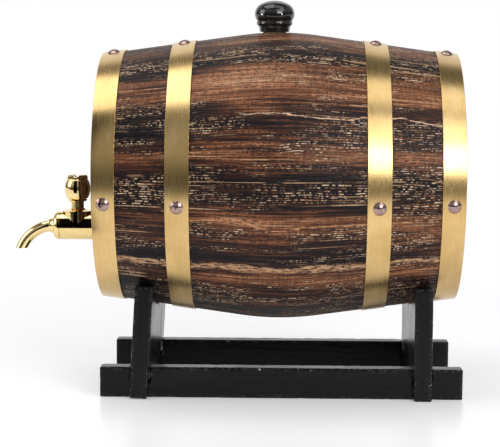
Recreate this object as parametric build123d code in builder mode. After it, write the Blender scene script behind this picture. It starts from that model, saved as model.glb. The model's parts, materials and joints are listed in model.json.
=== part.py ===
"""Small oak wine barrel with a brass tap and a bung, lying in a two-cradle stand.

Frame: +X runs along the barrel, from the tap end to the plain end. The front of the object faces -Y,
and +Z is up. The origin is on the floor, under the middle of the whole object's bounding box.
Lengths are in millimetres and angles in degrees.
"""
import os
from math import acos, asin, atan, cos, degrees, radians, sin, sqrt, tan

from build123d import *

os.makedirs("parts", exist_ok=True)

# ---- Driving dimensions ------------------------------------------------------------------------

# Barrel shell
barrel_length = 280.0
bilge_radius = 113.9
bilge_arc_radius = 222.0        # lengthwise curve of the staves in the middle of the barrel
cone_slope = 0.138              # straight taper of the staves towards both ends
stave_thickness = 18.0
stave_count = 16
chime_depth = 14.0              # the heads sit this far in from the ends
chime_bevel = 8.0
head_thickness = 14.0
head_edge_thickness = 6.0
head_bevel = 6.0
croze_depth = 4.0               # groove that holds the heads' edges
head_gap = 0.6                  # radial room between a head and the staves
seam_places = (-50.0, -17.0, 17.0, 50.0)
dowel_radius = 2.5
dowel_length = 20.0
dowel_heights = (-24.0, 24.0)

# Hoops and their rivets
hoop_thickness = 0.9
hoop_edge_rounding = 0.25
end_hoop_edges = (121.8, 139.8)
quarter_hoop_edges = (65.8, 84.3)
hoop_lap_angle = 16.0
rivet_turn = 8.6                # the rivets stand this far round from level and from upright
rivet_head_radius = 5.2
rivet_head_height = 2.5
rivet_shank_radius = 1.5
rivet_shank_length = 12.0

# Stand
seat_height = 167.8             # barrel axis above the floor
seat_offset = 2.6               # the barrel lies this far towards the tap end of its stand
seat_clearance = 0.35
rail_length = 280.6
rail_height = 23.8
rail_thickness = 14.0
rail_spacing = 117.8
cradle_spacing = 218.0
cradle_thickness = 14.0
cradle_depth = 148.0
cradle_height = 87.5
saddle_relief_width = 4.5
saddle_relief_depth = 3.0
lap_slack = 0.8                 # slack of the halving joints along the rails
lap_side_gap = 0.2
lap_depth = 12.1
cradle_lean = 3.3               # the tap-end cradle leans in, as far as its slack lets it
board_rounding = 0.8

# Bung, heights measured from the barrel's crest
bung_offset = -4.4              # bung hole from the middle of the barrel
bung_hole_radius = 9.5
bung_foot_radius = 11.7
bung_neck_radius = 12.6
bung_neck_top = 4.9
bung_bead_radius = 14.3
bung_bead_top = 8.9
bung_ball_radius = 15.8
bung_ball_half_height = 10.7
bung_ball_centre = 14.5
bung_side_round = 9.0
bung_clearance = 0.3
bung_tenon_radius = 4.0
bung_tenon_length = 14.0
cork_length = 24.0
cork_taper = 0.8

# Tap, measured from the point where its body's axis crosses its handle's axis
tap_handle_x = -162.5
tap_drop = 41.5                 # tap axis below the barrel's axis
tap_body_radius = 11.3
tap_body_end = 13.9             # the body ends here, towards the spout
tap_boss_radius = 11.0
tap_shank_radius = 7.5
tap_shank_past_head = 14.0
tap_bore_radius = 4.0
gasket_radius = 10.8
gasket_thickness = 2.0
washer_radius = 13.5
washer_thickness = 1.5
lock_nut_across_flats = 22.0
lock_nut_thickness = 7.0
running_clearance = 0.05
plug_radius = 6.45
plug_bottom = -7.9
plug_top = 8.2
plug_bore_radius = 3.5
plug_seal_height = 5.9
plug_seal_section = 0.8
plug_seal_groove = 1.7
stem_radius = 5.0
spigot_radius = 3.5
spigot_top = 33.0
bonnet_radius = 12.0
bonnet_neck_radius = 8.6
bonnet_seat = 11.5
bonnet_rim = 0.8
bonnet_top = 14.0
bonnet_throat = 0.8             # flat ring left round the stem at the top of the bonnet
bonnet_dish = (7.8, 12.8)       # a point the hollow of the bonnet goes through
knob_bottom = 19.9
knob_top = 41.1
knob_radius = 10.35
knob_radius_height = 30.2
knob_foot_inner_radius = 7.0
knob_foot_radius = 7.6
knob_foot_height = 1.9
knob_belly_start = (8.4, 22.4)
knob_belly_end = (8.75, 36.9)
knob_groove = (8.1, 37.5)
knob_cap_edges = ((8.45, 38.2), (8.35, 39.4))
knob_cap_radius = 7.2
knob_notch_radius = 2.4
knob_notch_depth = 2.0
knob_screw_radius = 1.5
knob_screw_head_radius = 3.0
knob_screw_head_height = 1.9
knob_screw_seat = 36.6
knob_screw_length = 14.0
knob_screw_room = 0.3           # radial room round the head of the screw
screw_slot_width = 0.8
screw_slot_depth = 0.9
collar_length = 9.2
collar_neck_radius = 7.8
collar_neck_length = 5.0
collar_rim = 1.0
collar_step = 5.0               # from the end of the body to the step in the collar
collar_step_radii = (8.9, 7.0)
collar_crown = (3.6, 10.5)
collar_cone = ((5.6, 6.7), (7.4, 5.7))
collar_end_radius = 5.2
spout_radius = 4.5
spout_bore_radius = 3.2
spout_straight = 4.8            # the spout's bend starts this far beyond the end of the body
spout_bend_radius = 28.9
spout_drop = 18.3               # spout tip below the tap axis
spout_overrun = 15.0            # the bend is drawn this far past its tip, then cut off level

# Small sizes that several pieces share
edge_bevel = 0.4
plug_end_gap = 0.1
cut_margin = 1.0                # a cutting shape goes this far past the faces it opens

# ---- Worked-out dimensions ---------------------------------------------------------------------

half_length = barrel_length / 2
taper = degrees(atan(cone_slope))
arc_end_x = bilge_arc_radius * sin(radians(taper))
arc_centre_radius = bilge_radius - bilge_arc_radius
stave_angle = 360.0 / stave_count
head_outer_x = half_length - chime_depth
head_inner_x = head_outer_x - head_thickness
tongue_outer_x = head_outer_x - (head_thickness - head_edge_thickness) / 2
tongue_inner_x = tongue_outer_x - head_edge_thickness

spout_turn = degrees(acos(1 - spout_drop / spout_bend_radius))
spout_reach = tap_body_end + spout_straight + spout_bend_radius * sin(radians(spout_turn))
tap_reach = -tap_handle_x + spout_reach + spout_radius / sin(radians(spout_turn))

plain_reach = max(half_length, seat_offset + rail_length / 2)

barrel_x = (tap_reach - plain_reach) / 2
stand_x = barrel_x + seat_offset
barrel_centre = Vector(barrel_x, 0, seat_height)
barrel_axis = Axis(barrel_centre, (1, 0, 0))
tap_centre = barrel_centre + Vector(tap_handle_x, 0, -tap_drop)
tap_upright = Axis(tap_centre, (0, 0, 1))
tap_length_axis = Axis(tap_centre, (1, 0, 0))
tap_section = Plane(tap_centre, x_dir=(1, 0, 0), z_dir=(0, -1, 0))
tap_head_face = -tap_handle_x - head_outer_x       # outer face of the head, from the tap's centre
bung_section = Plane(barrel_centre + Vector(bung_offset, 0, bilge_radius), x_dir=(1, 0, 0), z_dir=(0, -1, 0))
bung_axis = Axis(bung_section.origin, (0, 0, 1))


def barrel_radius(x, depth=0.0):
    """Radius of the barrel's outer surface at x, or of the parallel surface that much deeper."""
    if abs(x) <= arc_end_x * (bilge_arc_radius - depth) / bilge_arc_radius:
        return arc_centre_radius + sqrt((bilge_arc_radius - depth) ** 2 - x**2)
    end_radius = arc_centre_radius + bilge_arc_radius * cos(radians(taper))
    return end_radius - depth / cos(radians(taper)) - cone_slope * (abs(x) - arc_end_x)


def radial_plane(angle):
    """Plane through the barrel's axis whose own y direction points outwards at that angle."""
    turn = radians(angle)
    return Plane(barrel_centre, x_dir=(1, 0, 0), z_dir=(0, -sin(turn), cos(turn)))


def surface_plane(x, angle, height=0.0):
    """Plane that lies on the barrel's cone at x, that far above the wood, facing outwards."""
    turn, lean = radians(angle), radians(taper)
    side = 1 if x > 0 else -1
    normal = Vector(side * sin(lean), cos(lean) * cos(turn), cos(lean) * sin(turn))
    reach = barrel_radius(x)
    foot = barrel_centre + Vector(x, reach * cos(turn), reach * sin(turn))
    return Plane(foot + normal * height, x_dir=(cos(lean), -side * sin(lean) * cos(turn),
                                                -side * sin(lean) * sin(turn)), z_dir=normal)


def save(part, name):
    part.label = name
    export_step(part, f"parts/{name}.step")


hoops = {
    "tap_end_hoop": (-1, end_hoop_edges),
    "tap_quarter_hoop": (-1, quarter_hoop_edges),
    "plain_quarter_hoop": (1, quarter_hoop_edges),
    "plain_end_hoop": (1, end_hoop_edges),
}
rivet_angles = [rivet_turn + 90.0 * quarter for quarter in range(4)]
lap_angle = rivet_angles[0]     # the hoops' ends overlap at the back


def rivet_plane(side, edges, angle):
    """Seat of a rivet head: on the hoop, and on both layers of it where the hoop laps itself."""
    layers = 2 if angle == lap_angle else 1
    return surface_plane(side * sum(edges) / 2, angle, layers * hoop_thickness)


# ---- Staves ------------------------------------------------------------------------------------

croze_radius = barrel_radius(tongue_inner_x, stave_thickness) + croze_depth


def make_stave(first_angle, has_bung_hole):
    """One stave: a wedge of the barrel's wall, with its chime, its croze and its rivet holes."""
    inner_arc_radius = bilge_arc_radius - stave_thickness
    inner_arc_x = inner_arc_radius * sin(radians(taper))
    bevel_x = half_length - chime_bevel
    end_radius = barrel_radius(half_length)
    with BuildPart() as stave:
        with BuildSketch(radial_plane(first_angle)):
            with BuildLine():
                CenterArc((0, arc_centre_radius), bilge_arc_radius, 90 - taper, taper)
                CenterArc((0, arc_centre_radius), inner_arc_radius, 90 - taper, taper)
                Polyline(
                    (arc_end_x, barrel_radius(arc_end_x)),
                    (half_length, end_radius),
                    (half_length, end_radius - chime_bevel),
                    (bevel_x, barrel_radius(bevel_x, stave_thickness)),
                    (tongue_outer_x, barrel_radius(tongue_outer_x, stave_thickness)),
                    (tongue_outer_x, croze_radius),
                    (tongue_inner_x, croze_radius),
                    (tongue_inner_x, barrel_radius(tongue_inner_x, stave_thickness)),
                    (inner_arc_x, barrel_radius(inner_arc_x, stave_thickness)),
                )
                mirror(about=Plane.YZ)
            make_face()
        revolve(axis=barrel_axis, revolution_arc=stave_angle)
        seats = [
            rivet_plane(side, edges, angle)
            for side, edges in hoops.values()
            for angle in rivet_angles
            if (angle - first_angle) % 360 < stave_angle
        ]
        if seats:
            with Locations(*seats):
                Cylinder(rivet_shank_radius, rivet_shank_length,
                         align=(Align.CENTER, Align.CENTER, Align.MAX), mode=Mode.SUBTRACT)
        if has_bung_hole:
            with Locations(bung_section.origin):
                Cylinder(bung_hole_radius, 3 * stave_thickness, mode=Mode.SUBTRACT)
    return stave.part


for number in range(stave_count):
    first_angle = 90.0 + stave_angle * (number - 0.5)
    name = "bung_stave" if number == 0 else f"stave_{number + 1:02d}"
    save(make_stave(first_angle, number == 0), name)

# ---- Heads -------------------------------------------------------------------------------------

dowel_x = (tongue_outer_x + tongue_inner_x) / 2


def dowel_places(side):
    """Middles of the dowels that join the boards of one head."""
    return [
        barrel_centre + Vector(side * dowel_x, seam, height)
        for seam in seam_places
        for height in dowel_heights
    ]


def make_head_board(side, low_seam, high_seam):
    """One board of a head: a strip of the round head, cut between two upright seams."""
    face_radius = barrel_radius(head_outer_x, stave_thickness) - head_gap
    tongue_radius = croze_radius - head_gap / 2
    with BuildPart() as board:
        with BuildSketch(radial_plane(90)):
            with BuildLine():
                Polyline(
                    (side * head_inner_x, 0),
                    (side * head_inner_x, face_radius),
                    (side * tongue_inner_x, face_radius),
                    (side * tongue_inner_x, tongue_radius),
                    (side * tongue_outer_x, tongue_radius),
                    (side * tongue_outer_x, face_radius),
                    (side * head_outer_x, face_radius - head_bevel),
                    (side * head_outer_x, 0),
                    close=True,
                )
            make_face()
        revolve(axis=barrel_axis)
        with Locations(barrel_centre + Vector(side * dowel_x, (low_seam + high_seam) / 2, 0)):
            Box(2 * head_thickness, high_seam - low_seam, barrel_length, mode=Mode.INTERSECT)
        with Locations(*dowel_places(side)):
            Cylinder(dowel_radius, dowel_length, rotation=(90, 0, 0), mode=Mode.SUBTRACT)
        if side < 0 and low_seam < 0 < high_seam:
            with Locations(tap_centre + Vector(tap_head_face, 0, 0)):
                Cylinder(tap_shank_radius, 3 * head_thickness, rotation=(0, 90, 0), mode=Mode.SUBTRACT)
    return board.part


board_edges = (-half_length, *seam_places, half_length)
for head, side in (("tap_head", -1), ("plain_head", 1)):
    for number, (low_seam, high_seam) in enumerate(zip(board_edges, board_edges[1:]), start=1):
        save(make_head_board(side, low_seam, high_seam), f"{head}_board_{number}")
    with BuildPart() as head_dowels:
        with Locations(*dowel_places(side)):
            Cylinder(dowel_radius, dowel_length, rotation=(90, 0, 0))
    save(head_dowels.part, f"{head}_dowels")

# ---- Hoops and rivets --------------------------------------------------------------------------


def make_hoop(side, edges):
    """One hoop: a tapered ring of strip whose ends lap at the back, with four rivet holes."""
    middle, width = side * sum(edges) / 2, edges[1] - edges[0]
    with BuildPart() as hoop:
        for layer, first_angle, arc in ((0, 0, 360), (1, lap_angle - hoop_lap_angle / 2, hoop_lap_angle)):
            wood = surface_plane(middle, first_angle)
            with BuildSketch(Plane(wood.origin, x_dir=wood.x_dir, z_dir=-wood.y_dir)):
                with Locations((0, (layer + 0.5) * hoop_thickness)):
                    RectangleRounded(width, hoop_thickness, hoop_edge_rounding)
            revolve(axis=barrel_axis, revolution_arc=arc)
        with Locations(*[rivet_plane(side, edges, angle) for angle in rivet_angles]):
            Cylinder(rivet_shank_radius, 8 * hoop_thickness, mode=Mode.SUBTRACT)
    return hoop.part


with BuildPart() as rivet:
    with BuildSketch(Plane.XZ):
        with BuildLine():
            dome_radius = (rivet_head_radius**2 + rivet_head_height**2) / (2 * rivet_head_height)
            dome_angle = degrees(acos(1 - rivet_head_height / dome_radius))
            CenterArc((0, rivet_head_height - dome_radius), dome_radius, 90 - dome_angle, dome_angle)
            Polyline(
                (0, rivet_head_height),
                (0, -rivet_shank_length),
                (rivet_shank_radius, -rivet_shank_length),
                (rivet_shank_radius, 0),
                (rivet_head_radius, 0),
            )
        make_face()
    revolve(axis=Axis.Z)

for name, (side, edges) in hoops.items():
    save(make_hoop(side, edges), name)
    with BuildPart() as hoop_rivets:
        with Locations(*[rivet_plane(side, edges, angle) for angle in rivet_angles]):
            add(rivet.part)
    save(hoop_rivets.part, f"{name}_rivets")

# ---- Bung --------------------------------------------------------------------------------------

with BuildPart() as bung_knob:
    with BuildSketch(bung_section):
        with BuildLine():
            side_start = degrees(asin((bung_bead_top - bung_ball_centre) / bung_side_round))
            side_middle = bung_ball_radius - bung_side_round
            crown_round = (side_middle**2 + bung_ball_half_height**2 - bung_side_round**2) / (
                2 * (bung_ball_half_height - bung_side_round))
            crown_drop = crown_round - bung_ball_half_height
            crown_start = degrees(atan(crown_drop / side_middle))
            side_arc = CenterArc((side_middle, bung_ball_centre), bung_side_round,
                                 side_start, crown_start - side_start)
            CenterArc((0, bung_ball_centre - crown_drop), crown_round, crown_start, 90 - crown_start)
            bead_middle = (bung_neck_top + bung_bead_top) / 2
            ThreePointArc((bung_neck_radius, bung_neck_top), (bung_bead_radius, bead_middle), side_arc @ 0)
            Polyline(
                (bung_neck_radius, bung_neck_top),
                (bung_foot_radius, bung_clearance),
                (bung_tenon_radius, bung_clearance),
                (bung_tenon_radius, -bung_tenon_length),
                (0, -bung_tenon_length),
                (0, bung_ball_centre + bung_ball_half_height),
            )
        make_face()
    revolve(axis=bung_axis)
save(bung_knob.part, "bung_knob")

with BuildPart() as bung_cork:
    with BuildSketch(bung_section):
        with BuildLine():
            cork_radius = bung_hole_radius - bung_clearance
            Polyline(
                (bung_tenon_radius, bung_clearance),
                (cork_radius, bung_clearance),
                (cork_radius - cork_taper, -cork_length),
                (0, -cork_length),
                (0, -bung_tenon_length),
                (bung_tenon_radius, -bung_tenon_length),
                close=True,
            )
        make_face()
    revolve(axis=bung_axis)
save(bung_cork.part, "bung_cork")

# ---- Tap ---------------------------------------------------------------------------------------

shoulder_x = tap_head_face - gasket_thickness
washer_x = tap_head_face + head_thickness
shank_end_x = washer_x + tap_shank_past_head
chamber_radius = plug_radius + running_clearance

with BuildPart() as tap_body:
    with BuildSketch(tap_section):
        with BuildLine():
            Polyline(
                (-tap_body_end, 0),
                (-tap_body_end, tap_body_radius - edge_bevel),
                (-tap_body_end + edge_bevel, tap_body_radius),
                (shoulder_x - edge_bevel, tap_body_radius),
                (shoulder_x, tap_body_radius - edge_bevel),
                (shoulder_x, tap_shank_radius),
                (shank_end_x, tap_shank_radius),
                (shank_end_x, 0),
                close=True,
            )
        make_face()
    revolve(axis=tap_length_axis)
    with BuildSketch(Plane(tap_centre)):
        Circle(tap_boss_radius)
    extrude(amount=bonnet_seat)
    with BuildSketch(tap_section):
        with BuildLine():
            Polyline(
                (0, plug_bottom - plug_end_gap),
                (chamber_radius, plug_bottom - plug_end_gap),
                (chamber_radius, plug_top + plug_end_gap),
                (bonnet_neck_radius, plug_top + plug_end_gap),
                (bonnet_neck_radius, bonnet_seat + cut_margin),
                (0, bonnet_seat + cut_margin),
                close=True,
            )
        make_face()
    revolve(axis=tap_upright, mode=Mode.SUBTRACT)
    with BuildSketch(tap_section):
        with BuildLine():
            Polyline(
                (-tap_body_end - cut_margin, 0),
                (-tap_body_end - cut_margin, collar_neck_radius),
                (-tap_body_end + collar_neck_length, collar_neck_radius),
                (-tap_body_end + collar_neck_length, tap_bore_radius),
                (shank_end_x + cut_margin, tap_bore_radius),
                (shank_end_x + cut_margin, 0),
                close=True,
            )
        make_face()
    revolve(axis=tap_length_axis, mode=Mode.SUBTRACT)
save(tap_body.part, "tap_body")


def make_ring(near_x, far_x, outer_radius):
    """A flat ring round the tap's shank, between two places along it."""
    with BuildPart() as ring:
        with BuildSketch(Plane(tap_centre + Vector(near_x, 0, 0), x_dir=(0, 1, 0), z_dir=(1, 0, 0))):
            Circle(outer_radius)
            Circle(tap_shank_radius, mode=Mode.SUBTRACT)
        extrude(amount=far_x - near_x)
    return ring.part


save(make_ring(shoulder_x, tap_head_face, gasket_radius), "tap_gasket")
save(make_ring(washer_x, washer_x + washer_thickness, washer_radius), "tap_inner_washer")

with BuildPart() as tap_lock_nut:
    nut_x = washer_x + washer_thickness
    with BuildSketch(Plane(tap_centre + Vector(nut_x, 0, 0), x_dir=(0, 1, 0), z_dir=(1, 0, 0))):
        RegularPolygon(lock_nut_across_flats / 2, 6, major_radius=False)
        Circle(tap_shank_radius, mode=Mode.SUBTRACT)
    extrude(amount=lock_nut_thickness)
save(tap_lock_nut.part, "tap_lock_nut")

with BuildPart() as tap_bonnet:
    with BuildSketch(tap_section):
        with BuildLine():
            bore = stem_radius + running_clearance
            lip_top = bonnet_seat + bonnet_rim
            ThreePointArc((bonnet_radius, lip_top), bonnet_dish, (bore + bonnet_throat, bonnet_top))
            Polyline(
                (bonnet_radius, lip_top),
                (bonnet_radius, bonnet_seat),
                (bonnet_neck_radius, bonnet_seat),
                (bonnet_neck_radius, plug_top + plug_end_gap),
                (bore, plug_top + plug_end_gap),
                (bore, bonnet_top),
                (bore + bonnet_throat, bonnet_top),
            )
        make_face()
    revolve(axis=tap_upright)
save(tap_bonnet.part, "tap_bonnet")

with BuildPart() as tap_plug:
    with BuildSketch(tap_section):
        with BuildLine():
            Polyline(
                (0, plug_bottom),
                (plug_radius, plug_bottom),
                (plug_radius, plug_top),
                (stem_radius, plug_top),
                (stem_radius, knob_bottom),
                (spigot_radius, knob_bottom),
                (spigot_radius, spigot_top),
                (0, spigot_top),
                close=True,
            )
        make_face()
        for height in (-plug_seal_height, plug_seal_height):
            with Locations((plug_radius - plug_seal_section, height)):
                Rectangle(2 * plug_seal_section, plug_seal_groove, mode=Mode.SUBTRACT)
    revolve(axis=tap_upright)
    with Locations(tap_centre):
        Cylinder(plug_bore_radius, 3 * plug_radius, rotation=(90, 0, 0), mode=Mode.SUBTRACT)
    with Locations(tap_centre + Vector(0, 0, spigot_top)):
        screw_reach = knob_screw_length - (knob_screw_seat - spigot_top)
        Cylinder(knob_screw_radius, screw_reach, align=(Align.CENTER, Align.CENTER, Align.MAX),
                 mode=Mode.SUBTRACT)
save(tap_plug.part, "tap_plug")

with BuildPart() as tap_plug_seals:
    with Locations(*[tap_centre + Vector(0, 0, height) for height in (-plug_seal_height, plug_seal_height)]):
        Torus(plug_radius - plug_seal_section, plug_seal_section)
save(tap_plug_seals.part, "tap_plug_seals")

with BuildPart() as tap_handle:
    with BuildSketch(tap_section):
        with BuildLine():
            belly = ThreePointArc(knob_belly_start, (knob_radius, knob_radius_height), knob_belly_end)
            Polyline(
                belly @ 1,
                knob_groove,
                *knob_cap_edges,
                (knob_cap_radius, knob_top),
                (knob_screw_head_radius + knob_screw_room, knob_top),
                (knob_screw_head_radius + knob_screw_room, knob_screw_seat),
                (knob_screw_radius, knob_screw_seat),
                (knob_screw_radius, spigot_top),
                (spigot_radius, spigot_top),
                (spigot_radius, knob_bottom),
                (knob_foot_inner_radius, knob_bottom),
                (knob_foot_radius, knob_bottom + knob_foot_radius - knob_foot_inner_radius),
                (knob_foot_radius, knob_bottom + knob_foot_height),
                belly @ 0,
            )
        make_face()
    revolve(axis=tap_upright)
    with Locations(tap_centre + Vector(0, 0, knob_top - knob_notch_depth + knob_notch_radius)):
        Cylinder(knob_notch_radius, 3 * knob_radius, rotation=(90, 0, 0), mode=Mode.SUBTRACT)
save(tap_handle.part, "tap_handle")

with BuildPart() as tap_handle_screw:
    head_top = knob_screw_seat + knob_screw_head_height
    with BuildSketch(tap_section):
        with BuildLine():
            Polyline(
                (0, knob_screw_seat - knob_screw_length),
                (knob_screw_radius, knob_screw_seat - knob_screw_length),
                (knob_screw_radius, knob_screw_seat),
                (knob_screw_head_radius, knob_screw_seat),
                (knob_screw_head_radius, head_top - edge_bevel),
                (knob_screw_head_radius - edge_bevel, head_top),
                (0, head_top),
                close=True,
            )
        make_face()
    revolve(axis=tap_upright)
    with Locations(tap_centre + Vector(0, 0, head_top)):
        Box(screw_slot_width, 3 * knob_screw_head_radius, 2 * screw_slot_depth, mode=Mode.SUBTRACT)
save(tap_handle_screw.part, "tap_handle_screw")


def make_spout_rod(radius):
    """A round rod of that radius along the spout's line, cut off level at the tip."""
    with BuildPart() as rod:
        with BuildLine(tap_section) as spout_line:
            Line((-tap_body_end + collar_neck_length, 0), (-tap_body_end - spout_straight, 0))
            CenterArc((-tap_body_end - spout_straight, -spout_bend_radius), spout_bend_radius,
                      90, spout_turn + spout_overrun)
        with BuildSketch(Plane(spout_line.line @ 0, x_dir=(0, 1, 0), z_dir=spout_line.line % 0)):
            Circle(radius)
        sweep()
        with Locations(tap_centre + Vector(-spout_reach, 0, -spout_drop)):
            Box(6 * spout_radius, 6 * spout_radius, 6 * spout_radius,
                align=(Align.CENTER, Align.CENTER, Align.MAX), mode=Mode.SUBTRACT)
    return rod.part


spout_rod = make_spout_rod(spout_radius)
with BuildPart() as tap_spout:
    add(spout_rod)
    add(make_spout_rod(spout_bore_radius), mode=Mode.SUBTRACT)
save(tap_spout.part, "tap_spout")

with BuildPart() as tap_collar:
    with BuildSketch(tap_section):
        with BuildLine():
            outline = [(-tap_body_end - reach, radius) for reach, radius in (
                (collar_rim, tap_body_radius),
                collar_crown,
                (collar_step, collar_step_radii[0]),
                (collar_step, collar_step_radii[1]),
                *collar_cone,
                (collar_length, collar_end_radius),
            )]
            shoulder = ThreePointArc(*outline[:3])
            cone = ThreePointArc(*outline[4:])
            Polyline(shoulder @ 1, outline[3], cone @ 0)
            Polyline(
                cone @ 1,
                (-tap_body_end - collar_length, 0),
                (-tap_body_end + collar_neck_length, 0),
                (-tap_body_end + collar_neck_length, collar_neck_radius),
                (-tap_body_end, collar_neck_radius),
                (-tap_body_end, tap_body_radius - edge_bevel),
                (-tap_body_end - edge_bevel, tap_body_radius),
                shoulder @ 0,
            )
        make_face()
    revolve(axis=tap_length_axis)
    add(spout_rod, mode=Mode.SUBTRACT)
save(tap_collar.part, "tap_collar")

# ---- Stand -------------------------------------------------------------------------------------

slot_middle_height = rail_height - lap_depth / 2


def make_rail(side):
    """One rail of the stand, with a slot in its top for each cradle."""
    rail_middle = Vector(stand_x, side * rail_spacing / 2, rail_height / 2)
    with BuildPart() as rail:
        with Locations(rail_middle):
            Box(rail_length, rail_thickness, rail_height)
        fillet(rail.edges(), board_rounding)
        slots = [Vector(stand_x + end * cradle_spacing / 2, side * rail_spacing / 2, rail_height)
                 for end in (-1, 1)]
        with Locations(*slots):
            Box(cradle_thickness + lap_slack, 2 * rail_thickness, 2 * lap_depth, mode=Mode.SUBTRACT)
    return rail.part


def make_cradle(side, lean):
    """One cradle: a board with a round saddle, slotted over both rails, leaning towards the middle."""
    tilt = radians(lean)
    half_thickness = cradle_thickness / 2
    slot_x = stand_x + side * cradle_spacing / 2
    foot = Vector(slot_x + side * slot_middle_height * tan(tilt), 0, half_thickness * sin(tilt))
    board_plane = Plane(foot, x_dir=(0, 1, 0), z_dir=(cos(tilt), 0, side * sin(tilt)))
    axis_height = (seat_height - foot.Z) / cos(tilt)
    inner_edge_x = foot.X - side * (half_thickness + cradle_height * sin(tilt)) - barrel_x
    saddle_radius = (barrel_radius(inner_edge_x) + seat_clearance) / cos(tilt)
    saddle_bottom = axis_height - saddle_radius
    with BuildPart() as cradle:
        with BuildSketch(board_plane.offset(-half_thickness)):
            with Locations((0, cradle_height / 2)):
                Rectangle(cradle_depth, cradle_height)
        extrude(amount=cradle_thickness)
        fillet(cradle.edges(), board_rounding)
        with BuildSketch(board_plane.offset(-cradle_thickness)):
            with Locations((0, axis_height)):
                Circle(saddle_radius)
            with BuildLine():
                Polyline(
                    (-saddle_relief_width / 2, saddle_bottom + cut_margin),
                    (0, saddle_bottom - saddle_relief_depth),
                    (saddle_relief_width / 2, saddle_bottom + cut_margin),
                    close=True,
                )
            make_face()
            with Locations((-rail_spacing / 2, 0), (rail_spacing / 2, 0)):
                Rectangle(rail_thickness + lap_side_gap, 2 * lap_depth)
        extrude(amount=2 * cradle_thickness, mode=Mode.SUBTRACT)
    return cradle.part


save(make_rail(-1), "front_rail")
save(make_rail(1), "back_rail")
save(make_cradle(-1, cradle_lean), "tap_end_cradle")
save(make_cradle(1, 0.0), "plain_end_cradle")
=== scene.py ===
"""Studio scene of a small oak barrel on its slotted stand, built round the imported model.

Metres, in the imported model's own frame: +X along the barrel, the front faces -Y, +Z up.
"""

import json
import math

import bpy
import numpy as np
from mathutils import Matrix, Vector


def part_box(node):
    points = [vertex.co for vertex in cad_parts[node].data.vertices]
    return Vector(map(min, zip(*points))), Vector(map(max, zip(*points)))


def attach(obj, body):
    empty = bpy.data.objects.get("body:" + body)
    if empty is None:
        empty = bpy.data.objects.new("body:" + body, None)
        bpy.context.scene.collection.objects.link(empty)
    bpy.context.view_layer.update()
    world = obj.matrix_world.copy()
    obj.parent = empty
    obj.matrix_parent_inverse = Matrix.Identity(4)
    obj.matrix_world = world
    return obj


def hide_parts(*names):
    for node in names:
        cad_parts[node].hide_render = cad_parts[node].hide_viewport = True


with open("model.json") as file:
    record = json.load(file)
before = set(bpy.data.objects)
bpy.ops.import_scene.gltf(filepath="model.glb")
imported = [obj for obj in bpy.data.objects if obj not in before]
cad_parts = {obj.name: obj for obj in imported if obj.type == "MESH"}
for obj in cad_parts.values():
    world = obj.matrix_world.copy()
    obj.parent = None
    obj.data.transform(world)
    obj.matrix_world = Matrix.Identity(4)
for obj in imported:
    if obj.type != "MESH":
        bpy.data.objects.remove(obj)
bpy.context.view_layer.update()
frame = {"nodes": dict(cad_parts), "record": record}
nodes = frame["nodes"]

# ---- Sizes, as in the CAD source -----------------------------------------------------------------

HALF_LENGTH = 0.140
BILGE_RADIUS = 0.1139
BILGE_ARC = 0.222
SLOPE = 0.138
WALL = 0.018
STAVES = 16
STAVE_ANGLE = 2 * math.pi / STAVES
CHIME_DEPTH = 0.014
CHIME_BEVEL = 0.008
HEAD_THICKNESS = 0.014
TONGUE = 0.006
HEAD_BEVEL = 0.006
CROZE = 0.004
HEAD_GAP = 0.0006
SEAMS = (-0.050, -0.017, 0.017, 0.050)
BUNG_HOLE = 0.0095
TAP_HOLE = 0.0075

stave_low, stave_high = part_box("bung_stave")
board_low, board_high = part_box("tap_head_board_3")
cork_low, cork_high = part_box("bung_cork")
gasket_low, gasket_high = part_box("tap_gasket")
tap_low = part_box("tap_body")[0]
CX = (stave_low.x + stave_high.x) / 2
CZ = (board_low.z + board_high.z) / 2
middle = Vector((CX, 0, CZ))  # of the barrel

TAPER = math.atan(SLOPE)
ARC_END = BILGE_ARC * math.sin(TAPER)
HEAD_OUT = HALF_LENGTH - CHIME_DEPTH
HEAD_IN = HEAD_OUT - HEAD_THICKNESS
TONGUE_OUT = HEAD_OUT - (HEAD_THICKNESS - TONGUE) / 2
TONGUE_IN = TONGUE_OUT - TONGUE


def barrel_radius(x, depth=0.0):
    """Radius of the barrel's outer surface at x from its middle, or of the surface that much deeper."""
    x = np.abs(np.asarray(x, float))
    arc_end = ARC_END * (BILGE_ARC - depth) / BILGE_ARC
    arc_centre = BILGE_RADIUS - BILGE_ARC
    arc = arc_centre + np.sqrt(np.maximum((BILGE_ARC - depth) ** 2 - np.minimum(x, arc_end) ** 2, 0))
    cone = arc_centre + BILGE_ARC * math.cos(TAPER) - depth / math.cos(TAPER) - SLOPE * (x - ARC_END)
    return np.where(x <= arc_end, arc, cone)


CROZE_RADIUS = float(barrel_radius(TONGUE_IN, WALL)) + CROZE

# ---- Sizes that only the visual model has --------------------------------------------------------

RING_PITCH = 0.0036  # from one growth ring to the next
BRUSHED = 0.00022  # depth of the brushed furrows in the barrel's wood
PAINTED = 0.00008  # depth of the same furrows under the stand's paint
KNOCK = 0.00035  # depth of the broad knocks in the stand's arrises
NICK = 0.0007  # depth of the small nicks in them
PROUD = 0.00004  # how far an arris stands proud of the points round it
STAVE_JOINT = 0.0003  # radius of a stave's long edges
STAVE_END = 0.0005  # radius of a stave's end edges
BOARD_JOINT = 0.0005  # radius of a head board's long edges
ALONG_STEP = 0.0014  # from point to point along a stave
AROUND_STEP = 0.0007  # from point to point round the barrel
BOARD_STEP = 0.0008  # from point to point across a head board
FINE_MESH = 0.0008  # from point to point on the stand
FACE_ROWS = 124  # points up the outer face of a head board
BACK_ROWS = 30  # and up its inner face
BEVEL_SOFTENING = 0.0004
SHARP_ANGLE = math.radians(35)  # edges sharper than this stay sharp

# ---- Seeded noise for the relief -----------------------------------------------------------------


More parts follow.
